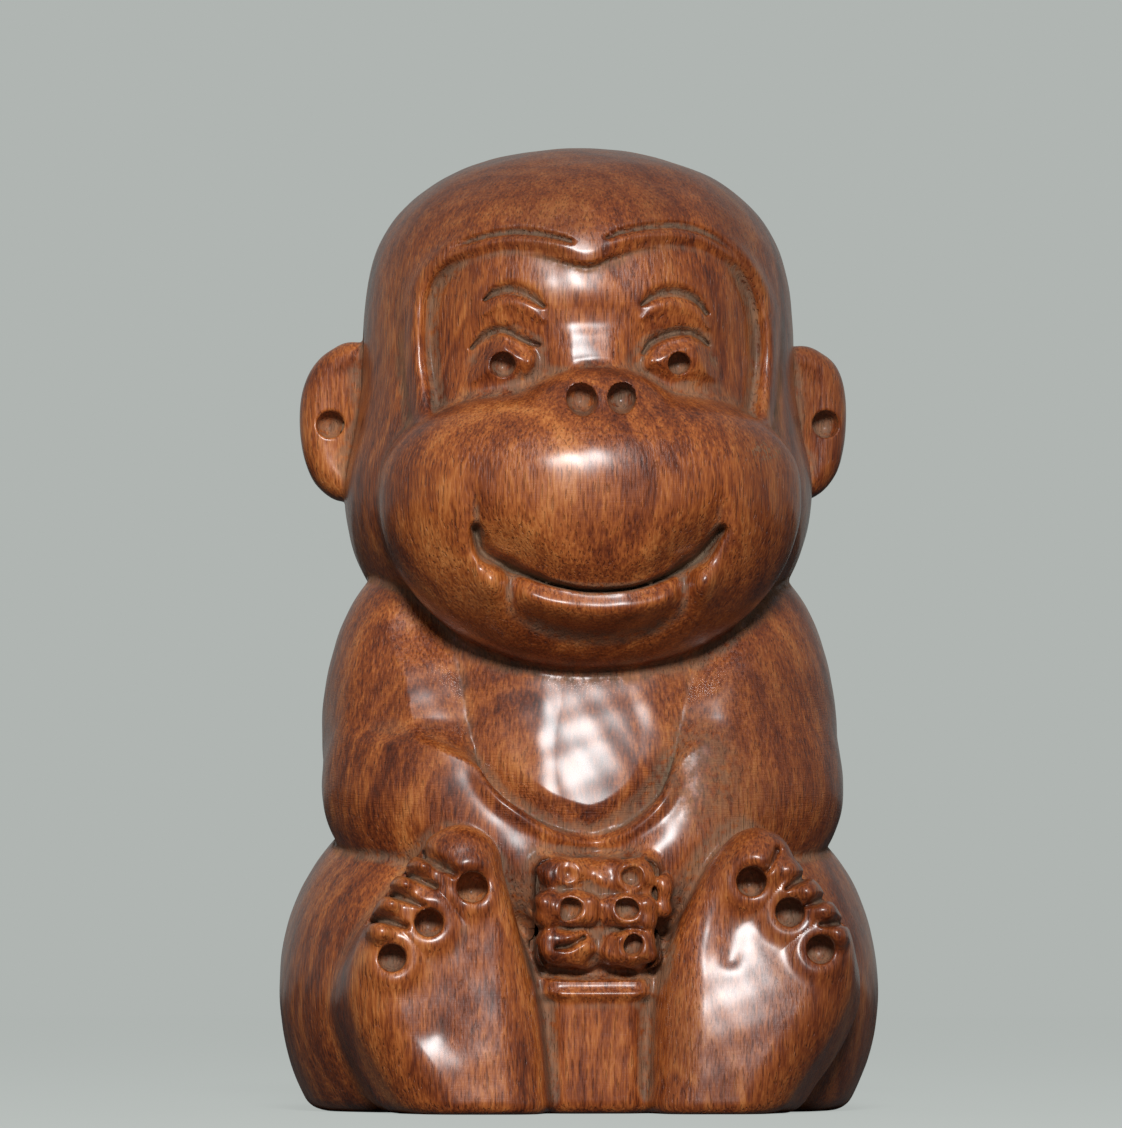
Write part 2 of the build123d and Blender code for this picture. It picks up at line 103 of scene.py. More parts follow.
class Outline:
    """A line drawn on a flat template. Read at (u, v) it gives the distance from the line.

    A closed line gives a negative distance inside it. An open line may have a width as the third
    number of each point, and then gives the distance in widths.
    """

    def __init__(self, points, closed=True, reach=4.0, pitch=0.12):
        line = curved(points, closed)
        start = line[:, :2].min(0) - reach
        size = np.ceil((line[:, :2].max(0) + reach - start) / pitch).astype(int) + 1
        u = (start[0] + pitch * np.arange(size[0]))[:, None]
        v = (start[1] + pitch * np.arange(size[1]))[None, :]
        wide = line.shape[1] > 2
        best = np.full(size, reach / (line[:, 2].min() if wide else 1))
        inside = np.zeros(size, bool)
        for a, b in zip(line[:-1], line[1:]):
            run = b[:2] - a[:2]
            length = run[0] ** 2 + run[1] ** 2
            if length < 1e-12:
                continue
            first = np.maximum((np.minimum(a[:2], b[:2]) - reach - start) / pitch, 0).astype(int)
            last = np.ceil((np.maximum(a[:2], b[:2]) + reach - start) / pitch).astype(int) + 1
            span = (slice(first[0], last[0]), slice(first[1], last[1]))
            du = u[span[0]] - a[0]
            dv = v[:, span[1]] - a[1]
            t = np.clip((du * run[0] + dv * run[1]) / length, 0, 1)
            gap = np.hypot(du - t * run[0], dv - t * run[1])
            if wide:
                gap = gap / (a[2] + (b[2] - a[2]) * t)
            best[span] = np.minimum(best[span], gap)
            rows = np.nonzero((a[1] > v[0]) != (b[1] > v[0]))[0]
            for row in rows if closed else ():
                at = a[0] + (v[0, row] - a[1]) * run[0] / run[1]
                inside[: max(0, math.ceil((at - start[0]) / pitch)), row] ^= True
        best[inside] *= -1
        self.pitch = pitch
        self.start = start.tolist()
        self.table = best.astype(np.float32)

    def __call__(self, u, v):
        i = np.clip((u - self.start[0]) / self.pitch, 0, self.table.shape[0] - 1.001)
        j = np.clip((v - self.start[1]) / self.pitch, 0, self.table.shape[1] - 1.001)
        i0 = i.astype(np.int32)
        j0 = j.astype(np.int32)
        fi = i - i0
        fj = j - j0
        t = self.table
        low = t[i0, j0] * (1 - fi) + t[i0 + 1, j0] * fi
        high = t[i0, j0 + 1] * (1 - fi) + t[i0 + 1, j0 + 1] * fi
        return low * (1 - fj) + high * fj


def drill(p, mouth, run, radius, depth):
    """A hole of a round-nosed bit that enters at mouth and goes in along run."""
    q = [p[i] - mouth[i] for i in range(3)]
    along = sum(q[i] * run[i] / math.hypot(*run) for i in range(3))
    side = np.sqrt(np.maximum(sum(c**2 for c in q) - along**2, 0))
    past = np.maximum(along - (depth - radius), 0)
    return np.sqrt(side**2 + past**2) - radius


def knife(p, size, seed):
    """Gentle unevenness left by the knife, between about -1 and 1, over patches of a size."""
    draw = np.random.default_rng(seed)
    total = 0
    for _ in range(4):
        run = draw.normal(size=3)
        run = (run * 2 * math.pi / size / np.linalg.norm(run) * draw.uniform(0.7, 1.4)).tolist()
        total = total + np.sin(p[0] * run[0] + p[1] * run[1] + p[2] * run[2] + draw.uniform(0, 6))
    return total / 3


def other_way(p):
    """The same point on the other half of the figure."""
    return (-p[0], p[1], p[2])


CROWN = Outline(
    [
        (0, 69.95),
        (3.5, 69.8),
        (6.6, 69.2),
        (10.2, 67.7),
        (13.0, 65.4),
        (14.6, 62.9),
        (15.35, 60.3),
        (15.7, 57.0),
        (15.8, 53.0),
        (16.3, 49.5),
        (17.0, 46.0),
        (16.9, 43.0),
        (16.1, 40.0),
        (14.5, 37.3),
        (11.5, 34.8),
        (6, 33.0),
        (0, 32.5),
        (-6, 33.0),
        (-11.5, 34.8),
        (-14.5, 37.3),
        (-16.1, 40.0),
        (-16.9, 43.0),
        (-17.0, 46.0),
        (-16.3, 49.5),
        (-15.8, 53.0),
        (-15.7, 57.0),
        (-15.35, 60.3),
        (-14.6, 62.9),
        (-13.0, 65.4),
        (-10.2, 67.7),
        (-6.6, 69.2),
        (-3.5, 69.8),
    ],
    reach=9.0,
)
SKULL_BACK = 1.79


def skull(p):
    """The domed head with its jowls, turned about an upright axis."""
    return CROWN(np.hypot(p[0], 1.01 * (p[1] - SKULL_BACK)), p[2])


def snout(p):
    """The broad muzzle: nearly flat above, a round bowl below, with the nose on top."""
    x = (p[0] - 0.05) / 15.1
    y = (p[1] + 8.47) / 10.15
    z = p[2] - 43.6
    over = z > 0
    tall = np.where(over, np.float32(8.0), np.float32(12.3))
    up = np.abs(z) / tall
    around = np.hypot(x, y) + 1e-6
    flat = np.hypot(x / 15.1, y / 10.15) / around
    full = (around * around * np.sqrt(around) + up * up * np.sqrt(up)) ** 0.4
    near = np.where(over, full, np.hypot(around, up))
    lean = around / near
    rest = up / near
    steep = np.hypot(
        np.where(over, lean * np.sqrt(lean), lean) * flat, np.where(over, rest * np.sqrt(rest), rest) / tall
    )
    body = (near - 1) / (steep + 1e-6)
    return blend(body, egg(p, (0.25, -12.1, 50.2), (4.6, 3.9, 2.65)), 1.6)


EAR_RIGHT = Outline(
    [
        (-12, 54.5), (-16.0, 56.0), (-18.0, 55.5), (-19.4, 54.1), (-20.1, 52.1), (-20.2, 49.7),
        (-19.8, 47.4), (-18.9, 45.6), (-17.3, 44.5), (-15, 44.8), (-12, 46),
    ]
)
EAR_LEFT = Outline(
    [
        (12, 54.5), (16.2, 56.0), (18.4, 55.4), (19.6, 54.0), (20.05, 51.4), (19.85, 48.6),
        (19.2, 46.5), (17.6, 44.9), (15, 44.8), (12, 46),
    ]
)


def ear(p, outline):
    """A plate with rounded edges, hollowed a little in front."""
    edge = outline(p[0], p[2])
    front = p[1] - 4.2 - 0.3 * (np.abs(p[0]) - 17.8)
    sides = np.abs(front + 0.1) - 2.1 + 0.45 * hump(edge / 2.2 + 1.2) * (front < 0)
    a = edge + 1.5
    b = sides + 1.5
    return np.minimum(np.maximum(a, b), 0) + np.hypot(np.maximum(a, 0), np.maximum(b, 0)) - 1.5


# The U that ends the bib, and the bib's sides up to the neck.
BIB = Outline(
    [
        (-10.0, 36.0), (-9.2, 31.5), (-8.5, 27.0), (-7.9, 24.3), (-6.7, 22.5), (-5.2, 21.3), (-3.4, 20.2),
        (-1.5, 19.55), (0.1, 19.4), (1.65, 19.85), (3.15, 20.8), (4.4, 22.0), (5.2, 23.4), (5.75, 25.0),
        (6.3, 27.5), (7.2, 31.0), (8.6, 36.0), (4, 40), (-5, 40),
    ]
)
BIB_BACK = -7.4
CHEST_BACK = -6.0


def bib_cut(p):
    """The space in front of the bib, negative inside the U."""
    return np.maximum(BIB(p[0], p[2]), p[1] - BIB_BACK)


def bib_front(p):
    """Depth behind the chest's front, which turns in to a gouged valley just inside the U."""
    up = p[2] - 20.5
    front = 0.14 * up + 0.008 * up**2 + (p[0] - 1.6) ** 2 / 58 - 11.9
    low = rise(p[2], 26, 21.5)
    return 0.97 * (front - p[1]) + (0.05 + 0.8 * low) * rise(BIB(p[0], p[2]), -2.4, -0.3)


def chest(p):
    sides = cut(bib_front(p), BIB(p[0], p[2]) - 1.0, 0.1 + 2.0 * rise(p[2], 22, 26))
    return np.maximum(sides, p[1] - CHEST_BACK)


def less_bib(p, body):
    """A mass cut back to the chest's front within the bib, with a raised arris along the U."""
    edge = BIB(p[0], p[2])
    rim = 0.4 * hump((edge - 0.35) / 0.55) * rise(p[2], 25, 21.5) * rise(p[1], -5, -8)
    front = bib_front(p)
    sloped = 2.5 * rise(p[2], 24, 28)
    return cut(body - rim, np.minimum((sloped * front - edge) / (1 + sloped), front), 0.35)


def trunk(p):
    """The core, with the low back wall of the undercut between the hands and the seat."""
    lap = np.maximum(np.maximum(np.abs(p[0] - 0.1) - 4.6, np.abs(p[1] + 8.1) - 5.1), p[2] - 12.0)
    return less_bib(p, blend(egg(p, (0, 2.53, 15.0), (16.5, 13.5, 24.0)), np.maximum(lap, 5.0 - p[2]), 0.8))


def arm(p):
    """Upper arm, elbow and forearm in one, at the monkey's left."""
    shoulder = egg(p, (11.4, 0.6, 28.1), (7.15, 8.2, 12.3))
    upper = blend(shoulder, egg(p, (7.9, -0.9, 27.0), (10.1, 9.3, 12.0)), 1.5)
    elbow = egg(p, (12.2, -2.6, 22.6), (6.15, 6.3, 6.4))
    breast = egg(p, (5.5, -0.8, 25.5), (11.0, 9.5, 12.0))
    fore = limb(p, (7.8, -7.6, 19.6), (0.72, 0.42, 0.55), 9.5, 4.3)
    return blend(blend(blend(upper, elbow, 1.5), breast, 2.0), fore, 6.0)


def haunch(p):
    return egg(p, (11.3, 1.2, 8.8), (10.4, 14.0, 13.7))


# The feet lean back on their heels. Their outlines are drawn on the sole itself.
FOOT_FRONT = -18.45
LEAN = math.radians(8)
SOLE_LEFT = Outline(
    [
        (5.0, -3), (4.9, 3.0), (5.0, 8.0), (5.6, 12.5), (7.0, 16.2), (8.8, 19.0), (11.2, 20.45),
        (12.9, 19.3), (14.6, 17.5), (16.3, 15.6), (17.6, 13.2), (17.5, 10.2), (16.2, 6.8), (14.0, 3.5),
        (12.0, 0.5), (9.5, -3),
    ]
)
SOLE_RIGHT = Outline(
    [
        (-4.5, -3), (-4.5, 3.0), (-4.9, 8.0), (-5.6, 12.5), (-6.3, 16.2), (-7.2, 19.0), (-9.3, 20.6),
        (-11.5, 19.8), (-13.2, 17.9), (-14.7, 16.0), (-16.0, 13.6), (-16.6, 10.6), (-16.0, 7.0),
        (-14.2, 3.5), (-12.3, 0.5), (-10, -3),
    ]
)


def on_sole(p):
    """A point on the foot's own axes: across, inwards from the sole, and up it."""
    y = p[1] - FOOT_FRONT
    return (p[0], y * math.cos(LEAN) - p[2] * math.sin(LEAN), p[2] * math.cos(LEAN) + y * math.sin(LEAN))


def foot(p, outline):
    """An upright sole that widens towards the leg, without toes or hollows.

    The sole on the monkey's left is a little domed, and the other one turns outwards.
    """
    u, deep, v = on_sole(p)
    edge = outline(u, v) - 0.3 * np.clip(deep, 0, 6) * rise(v, 17, 8)
    domed = 0.55 * np.tanh((0.014 * (u - 11.9) ** 2 + 0.009 * (v - 5.6) ** 2) / 0.55)
    turned = 0.009 * np.clip(-u - 6, 0, 12) ** 2 - 0.045 * (v - 6)
    deep = deep - np.where(u > 0, domed, turned) * rise(v, 18, 13)
    round_off = 2.0 + 0.5 * rise(v, 14, 8)
    a = edge + round_off
    b = -deep + round_off
    body = np.minimum(np.maximum(a, b), 0) + np.hypot(np.maximum(a, 0), np.maximum(b, 0)) - round_off
    return np.maximum(body, deep - 8.0)


SEAT_FRONT = -14.5
SEAT_TOP = 9.5
SEAT_HALF_WIDTH = 2.45


def seat(p):
    """The plain block between the feet, under the hands, wider at its ledge and towards the back."""
    half = SEAT_HALF_WIDTH + 0.7 * rise(p[2], 7.7, 8.5) + 1.1 * np.clip(p[1] + 14.6, 0, 5)
    x = 0.75 * (np.abs(p[0] - 0.1) - half)
    top = p[2] - SEAT_TOP + 0.5 * np.clip(-14.0 - p[1], -0.6, 1)
    bead = 0.3 * hump((p[2] - 8.35) / 0.4)
    block = np.maximum(np.maximum(x, p[2] - 9.6), p[1] + 1.0)
    return cut(block, np.maximum(SEAT_FRONT - p[1], top) - bead, 0.5)


def fists(p):
    """Both fists as one plain lump, between the feet."""
    x = np.abs(p[0] - 0.1) - 4.5
    y = np.abs(p[1] + 12.2) - 3.9
    z = np.abs(p[2] - 14.0) - 4.0
    q = [np.maximum(c + 1.1, 0) for c in (x, y, z)]
    return np.sqrt(q[0] ** 2 + q[1] ** 2 + q[2] ** 2) + np.minimum(np.maximum(np.maximum(x, y), z) + 1.1, 0) - 1.1


forms = {
    "trunk": trunk,
    "arm_left": lambda p: less_bib(p, arm(p)),
    "arm_right": lambda p: less_bib(p, arm(other_way(p))),
    "chest": chest,
    "haunch_left": haunch,
    "haunch_right": lambda p: haunch(other_way(p)),
    "skull": skull,
    "ear_left": lambda p: ear(p, EAR_LEFT),
    "ear_right": lambda p: ear(p, EAR_RIGHT),
    "snout": snout,
    "hands": fists,
    "seat": seat,
    "foot_left": lambda p: foot(p, SOLE_LEFT),
    "foot_right": lambda p: foot(p, SOLE_RIGHT),
}
# The space that each form fills, lowest corner first. Far from it the form isn't worked out.
SPACES = {
    "trunk": ((-17, -11, -10), (17, 16.2, 39.2)),
    "arm_left": ((-6, -14.5, 12), (19, 9.4, 40.6)),
    "arm_right": ((-19, -14.5, 12), (6, 9.4, 40.6)),
    "chest": ((-10.5, -13.0, 19), (9, -2, 40)),
    "haunch_left": ((0.8, -13, -5), (22, 15.5, 22.8)),
    "haunch_right": ((-22, -13, -5), (-0.8, 15.5, 22.8)),
    "skull": ((-17.2, -15.5, 32.3), (17.2, 19, 70.2)),
    "ear_left": ((12, 2, 44), (20.5, 6.6, 56.4)),
    "ear_right": ((-20.5, 2, 44), (-12, 6.6, 56.4)),
    "snout": ((-15.3, -18.8, 31), (15.3, 2, 53.5)),
    "hands": ((-4.6, -16.2, 9.8), (4.8, -8, 18.2)),
    "seat": ((-8.5, -14.8, -3), (8.6, -0.8, 9.3)),
    "foot_left": ((3, -19, -3), (18.4, -6, 21)),
    "foot_right": ((-17.4, -19, -3), (-3, -6, 21.2)),
}
FAR = 9.0
BROAD_UNEVENNESS = 0.05
FINE_UNEVENNESS = 0.016
# How softly each form runs into the ones before it.
SOFTNESS = {
    "arm_left": 1.2,
    "arm_right": 1.2,
    "chest": 0.3,
    "snout": 0.7,
    "hands": 0.8,
    "skull": 0.4,
    "seat": 0.9,
    "foot_left": 0.7,
    "foot_right": 0.7,
}
PLAIN_SOFTNESS = 0.35
BASE_EDGE = 1.0


def whole(p, names):
    """The surface of the figure near the named forms, and each form's own distance."""
    own = {}
    for name in forms:
        low, high = SPACES[name]
        if name in names and all(p[i].max() > low[i] - 3 and p[i].min() < high[i] + 3 for i in range(3)):
            own[name] = forms[name](p)
    surface = np.full_like(p[0], FAR)
    for name, distance in own.items():
        surface = blend(surface, distance, SOFTNESS.get(name, PLAIN_SOFTNESS))
    surface = surface + BROAD_UNEVENNESS * knife(p, 7.0, 3) + FINE_UNEVENNESS * knife(p, 2.4, 5)
    return cut(surface, -p[2], BASE_EDGE), own


def in_parts(field, points):
    """The field at many points, worked out in parts of neighbouring points, side by side."""
    box = ((points - points.min(0)) / 6.0).astype(np.int32)
    order = np.argsort((box[:, 0] * 32 + box[:, 1]) * 32 + box[:, 2], kind="stable")
    parts = np.array_split(order, max(1, len(points) // 12000))
    result = np.empty(len(points), np.float32)

    def work(part):
        result[part] = field(tuple(np.ascontiguousarray(points[part].T)))

    with ThreadPoolExecutor(4) as pool:
        list(pool.map(work, parts))
    return result


CORNERS = np.array([(1, 1, 1), (1, -1, -1), (-1, 1, -1), (-1, -1, 1)], np.float32) / math.sqrt(3)


def around(field, points, reach):
    """The mean of a field over the four corners about each point, and its gradient from them."""
    value = [in_parts(field, points + reach * corner) for corner in CORNERS]
    lie = sum(v[:, None] * corner for v, corner in zip(value, CORNERS)) * (0.75 / reach)
    return sum(value) / 4, lie


def skin(field, low, high, step):
    """The surface where a field is zero, as vertices and four-sided faces that look outwards."""
    low = np.array(low, np.float32)
    blocks = np.ceil((np.array(high) - low) / (4 * step)).astype(int)
    size = blocks * 4
    middles = [low[i] + (4 * np.arange(blocks[i]) + 1.5) * step for i in range(3)]
    rough = in_parts(field, np.stack(np.meshgrid(*middles, indexing="ij"), -1).reshape(-1, 3).astype(np.float32))
    rough = rough.reshape(blocks)

    def spread(a):
        return a.repeat(4, 0).repeat(4, 1).repeat(4, 2)

    near = spread(np.abs(rough) < 5 * step)
    value = spread(np.sign(rough).astype(np.float32))
    places = np.argwhere(near)
    value[near] = in_parts(field, (low + places * step).astype(np.float32))
    inside = value < 0
    cells = []
    crossings = []
    quads = []
    stride = np.array([size[1] * size[2], size[2], 1])
    for axis in range(3):
        side_b, side_c = (axis + 1) % 3, (axis + 2) % 3
        here = np.take(inside, np.arange(size[axis] - 1), axis)
        there = np.take(inside, np.arange(1, size[axis]), axis)
        at = np.argwhere(here != there)
        flat = at @ stride
        v0 = value.ravel()[flat]
        v1 = value.ravel()[flat + stride[axis]]
        point = at.astype(np.float64)
        point[:, axis] += v0 / (v0 - v1)
        ring = [flat - stride[side_b] - stride[side_c], flat - stride[side_c], flat, flat - stride[side_b]]
        ring = np.stack(ring, 1)
        turned = v0 > 0
        ring[turned] = ring[turned][:, ::-1]
        cells.append(ring.ravel())
        crossings.append(np.repeat(point, 4, 0))
        quads.append(len(at))
    names, index = np.unique(np.concatenate(cells), return_inverse=True)
    crossings = np.concatenate(crossings)
    count = np.bincount(index)
    vertices = np.stack([np.bincount(index, crossings[:, i]) / count for i in range(3)], 1)
    return (low + vertices * step).astype(np.float32), index.reshape(-1, 4)


OVERLAP = 0.6
DIP = 0.25


def shape_piece(node, names, region, low, high, step):
    """Carves one piece out of the block and gives it its node's place.

    names are the forms that show in the piece or touch it, and region is negative in the piece's
    own part of the wood. Past its own part it dips just under its neighbour.
    """

    def surface(p):
        return whole(p, names)[0]

    def solid(p):
        outer, own = whole(p, names)
        part = region(p, own)
        return np.maximum(outer + DIP * np.maximum(part, 0), part - OVERLAP)

    points, faces = skin(solid, low, high, step)
    for reach in (0.3 * step, 0.1 * step):
        value, lie = around(solid, points, reach)
        move = lie * (value / np.maximum((lie**2).sum(1), 0.2))[:, None]
        points = points - np.clip(move, -0.5 * step, 0.5 * step)
    shown = in_parts(lambda p: region(p, whole(p, names)[1]), points) < OVERLAP * 0.9
    lie = np.empty_like(points)
    lie[shown] = around(surface, points[shown], 0.04)[1]
    lie[~shown] = around(solid, points[~shown], 0.04)[1]
    lie /= np.maximum(np.linalg.norm(lie, axis=1), 1e-6)[:, None]
    mesh = bpy.data.meshes.new(node)
    mesh.from_pydata((points * MM).tolist(), [], faces.tolist())
    for name, reach in (("crease", 0.4), ("valley", 1.3)):
        mark = mesh.attributes.new(name, "FLOAT", "POINT")
        mark.data.foreach_set("value", -around(surface, points, reach)[0] / reach)
    mesh.shade_smooth()
    mesh.normals_split_custom_set_from_vertices(lie.tolist())
    piece = bpy.data.objects.new(node + "_carving", mesh)
    bpy.context.scene.collection.objects.link(piece)
    mesh.materials.append(wood)
    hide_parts(node)
    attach(piece, "root")
    print(node, len(points), "vertices", 2 * len(faces), "triangles")
    return piece


def own_part(own, *mine):
    """Negative where the named forms are the outermost ones, by half the difference to the rest."""
    first = rest = FAR
    for name, distance in own.items():
        if name in mine:
            first = np.minimum(first, distance)
        else:
            rest = np.minimum(rest, distance)
    return (first - rest) / 2


# The finish. Bare red-brown heartwood, hand-waxed and worn glossy, with upright fibres, dark pores,
# broad wandering growth rings, pale dust in the creases and fine scratches on the high places.
class Tone:
    """One output in the material. Sums and products of tones add their own Math nodes."""

    def __init__(self, tree, socket=None):
        self.tree = tree
        self.socket = socket

    def make(self, kind, settings, values, out=0):
        """A node of a kind, its settings first, then the values or links of its sockets."""
        node = self.tree.nodes.new(kind)
        for key, value in settings.items():
            if key == "stops":
                ramp = node.color_ramp.elements
                while len(ramp) < len(value):
                    ramp.new(0.5)
                for stop, (place, colour) in zip(ramp, value):
                    stop.position = place
                    stop.color = (*colour, 1) if isinstance(colour, tuple) else (colour, colour, colour, 1)
            else:
                setattr(node, key, value)
        for key, value in values.items():
            if isinstance(value, Tone):
                self.tree.links.new(value.socket, node.inputs[key])
            else:
                node.inputs[key].default_value = value
        return Tone(self.tree, node.outputs[out])

    def maths(self, operation, a, b):
        return self.make("ShaderNodeMath", {"operation": operation}, {0: a, 1: b})

    def __add__(self, other):
        return self.maths("ADD", self, other)

    def __sub__(self, other):
        return self.maths("SUBTRACT", self, other)

    def __rsub__(self, other):
        return self.maths("SUBTRACT", other, self)

    def __mul__(self, other):
        return self.maths("MULTIPLY", self, other)

    __radd__ = __add__
    __rmul__ = __mul__

    def noise(self, scale, detail=2.0, rough=0.5):
        values = {"Vector": self, "Scale": scale, "Detail": detail, "Roughness": rough}
        return self.make("ShaderNodeTexNoise", {}, values)

    def stretched(self, x, y, z):
        """These coordinates, in millimetres, multiplied along each axis."""
        return self.make("ShaderNodeVectorMath", {"operation": "MULTIPLY"}, {0: self, 1: (x, y, z)})

    def moved(self, x, y, z):
        """These coordinates, in millimetres, shifted along each axis."""
        return self.make("ShaderNodeVectorMath", {"operation": "ADD"}, {0: self, 1: (x, y, z)})

    def away_from(self, x, y, z):
        """The distance of these coordinates from a point."""
        return self.make("ShaderNodeVectorMath", {"operation": "DISTANCE"}, {0: self, 1: (x, y, z)}, "Value")

    def between(self, low, high):
        """0 below low, 1 above high, and smooth between them."""
        settings = {"interpolation_type": "SMOOTHSTEP"}
        return self.make("ShaderNodeMapRange", settings, {"Value": self, "From Min": low, "From Max": high})

    def mixed(self, first, second):
        """The first colour where this is 0, and the second where it is 1."""
        return self.make("ShaderNodeMix", {"data_type": "RGBA"}, {0: self, 6: first, 7: second}, 2)


def shade(red, green, blue):
    """A colour as a screen shows it, 0 to 255, as the light it gives."""
    light = []
    for value in (red, green, blue):
        value = value / 255
        light.append(value / 12.92 if value <= 0.04045 else ((value + 0.055) / 1.055) ** 2.4)
    return (*light, 1.0)


# The colour towards the crown of the head.
CROWN_DARK = shade(86, 38, 22)
# Painted shade on the monkey's left side (+X).
PAINTED_SIDE_SHADE = shade(84, 36, 20)
OPEN_PORE = shade(66, 28, 14)
# Painted shade in the creases.
PAINTED_CREASE_SHADE = shade(52, 27, 17)
PALE_DUST = shade(134, 116, 96)

wood = bpy.data.materials.new("waxed_heartwood")
wood.use_nodes = True
wood.node_tree.nodes.clear()
tone = Tone(wood.node_tree)
place = tone.make("ShaderNodeTexCoord", {}, {}, "Object").stretched(1 / MM, 1 / MM, 1 / MM)
crease = tone.make("ShaderNodeAttribute", {"attribute_name": "crease"}, {}, "Fac")
valley = tone.make("ShaderNodeAttribute", {"attribute_name": "valley"}, {}, "Fac")

bend = place.noise(0.055, 2.0)
from_heart = place.stretched(1, 0.8, 0.25).moved(14, 30, 0)
age = from_heart.make("ShaderNodeVectorMath", {"operation": "LENGTH"}, {0: from_heart}, "Value")
ring_values = {"W": age * 0.55 + bend * 7.0, "Scale": 1.0, "Detail": 3.0}
rings = tone.make("ShaderNodeTexNoise", {"noise_dimensions": "1D"}, ring_values)
fibre = place.stretched(1, 1, 0.13).noise(5.2, 2.0, 0.6)
streak = place.stretched(1, 1, 0.07).noise(1.1, 2.0, 0.5)
mottle = place.stretched(1, 1, 0.6).noise(0.45, 4.0, 0.6)
cloud = place.stretched(1, 1, 0.6).noise(0.16, 2.0)
pores = place.stretched(1, 1, 0.1).noise(7.0, 1.0, 0.4).between(0.6, 0.7)

figure = 0.54 + (fibre - 0.5) * 0.62 + (streak - 0.5) * 0.3 + (mottle - 0.5) * 0.32
figure = figure + (rings - 0.5) * 0.5 + (cloud - 0.5) * 0.4
colour = tone.make(
    "ShaderNodeValToRGB",
    {
        "stops": [
            (0.24, shade(70, 27, 10)[:3]),
            (0.38, shade(106, 46, 18)[:3]),
            (0.5, shade(140, 69, 29)[:3]),
            (0.62, shade(173, 94, 42)[:3]),
            (0.78, shade(204, 126, 66)[:3]),
        ]
    },
    {"Fac": figure},
)
height = place.make("ShaderNodeSeparateXYZ", {}, {0: place}, "Z")
# Darker towards the crown of the head, with a wandering edge.
darker_crown = (height + (cloud - 0.5) * 30).between(57, 68) * 0.5
colour = darker_crown.mixed(colour, CROWN_DARK)
across = place.make("ShaderNodeSeparateXYZ", {}, {0: place}, "X")
# Painted shade: the monkey's left side (+X) is darkened in the colour, as if the light fell from the other side.
colour = ((across + (cloud - 0.5) * 40).between(2, 17) * 0.4).mixed(colour, PAINTED_SIDE_SHADE)
colour = (pores * 0.35).mixed(colour, OPEN_PORE)
# Painted shade: the creases are darkened in the colour itself, where shade falls in them.
colour = (crease.between(0.04, 0.35) * 0.7).mixed(colour, PAINTED_CREASE_SHADE)
speckle = place.noise(1.5, 4.0, 0.7)
worn = 1 - place.stretched(0.28, 0, 0.2).away_from(2.1, 0, 4.8).between(0.45, 1.1)
scuff = 1 - place.stretched(0.6, 0, 1).away_from(7.3, 0, 46.7).between(0.4, 1.1)
dust = valley.between(0.02, 0.17) * speckle.between(0.3, 0.56) * 0.5
dust = dust + worn * speckle.between(0.36, 0.6) * 0.4 + scuff * place.noise(3.2, 3.0, 0.6).between(0.5, 0.56) * 0.6
dust = dust + valley.between(0.35, 0.8) * 0.35
colour = dust.mixed(colour, PALE_DUST)

scratch = place.stretched(0.3, 1, 8).noise(1.7, 3.0, 0.65)
scraped = height.between(19, 22) * (1 - height.between(30, 33)) * 0.9 + 0.1
relief = fibre * 0.7 - pores * 0.5 + mottle * 0.3 + scratch * scraped
bump = tone.make("ShaderNodeBump", {}, {"Strength": 0.8, "Distance": 0.15 * MM, "Height": relief})
skin_shine = tone.make(
    "ShaderNodeBsdfPrincipled",
    {},
    {
        "Base Color": colour,
        "Roughness": 0.42 + dust * 0.6 + (scratch - 0.5) * 0.3,
        "Normal": bump,
        "Specular IOR Level": 0.25,
        "Coat Weight": 0.85 - dust * 1.6,
        "Coat Roughness": 0.25,
        "Coat IOR": 1.45,
    },
)
wood.node_tree.links.new(skin_shine.socket, wood.node_tree.nodes.new("ShaderNodeOutputMaterial").inputs["Surface"])


# The head. The domed crown and jowls of the block, with a hood cut round the face: a fine line over
# both lobes of the brow that deepens down the sides, where it leaves a rolled rim.
FACE = Outline(
    [
        (-0.4, 60.6), (-1.7, 60.8), (-3.5, 61.3), (-6.3, 61.6), (-9.1, 61.0), (-10.9, 59.8),
        (-11.7, 58.2), (-11.9, 56.0), (-11.8, 53.5), (-11.5, 51.0), (-11.0, 47.5), (-10.0, 44.5),
        (0.0, 44.0), (10.3, 44.5), (11.4, 47.5), (12.1, 50.3), (12.5, 52.6), (12.65, 54.9),
        (12.4, 57.4), (11.6, 59.4), (10.1, 61.0), (7.6, 62.0), (3.9, 62.0), (1.1, 61.2),
    ],
    pitch=0.1,
)
FACE_BACK = -4.9
HOOD_LINE = [
    Outline(
        [
            (-1.6, 61.6, 0.14), (-2.8, 61.95, 0.26), (-5.3, 62.4, 0.3), (-8.0, 62.1, 0.3),
            (-10.3, 61.2, 0.3), (-11.9, 59.5, 0.32), (-12.8, 57.3, 0.36), (-13.2, 55.0, 0.42),
            (-13.3, 52.5, 0.5), (-13.0, 49.5, 0.4),
        ],
        closed=False,
        pitch=0.08,
    ),
    Outline(
        [
            (0.9, 61.9, 0.14), (2.3, 62.45, 0.28), (5.6, 63.0, 0.34), (8.0, 62.7, 0.34),
            (10.1, 61.6, 0.36), (11.9, 59.7, 0.38), (13.1, 57.6, 0.38), (13.7, 55.3, 0.4),
            (13.8, 52.8, 0.45), (13.5, 50.0, 0.4),
        ],
        closed=False,
        pitch=0.08,
    ),
]


def face_pocket(p):
    """The space of the face plate, negative inside it."""
    return np.maximum(FACE(p[0], p[2]), p[1] - FACE_BACK)


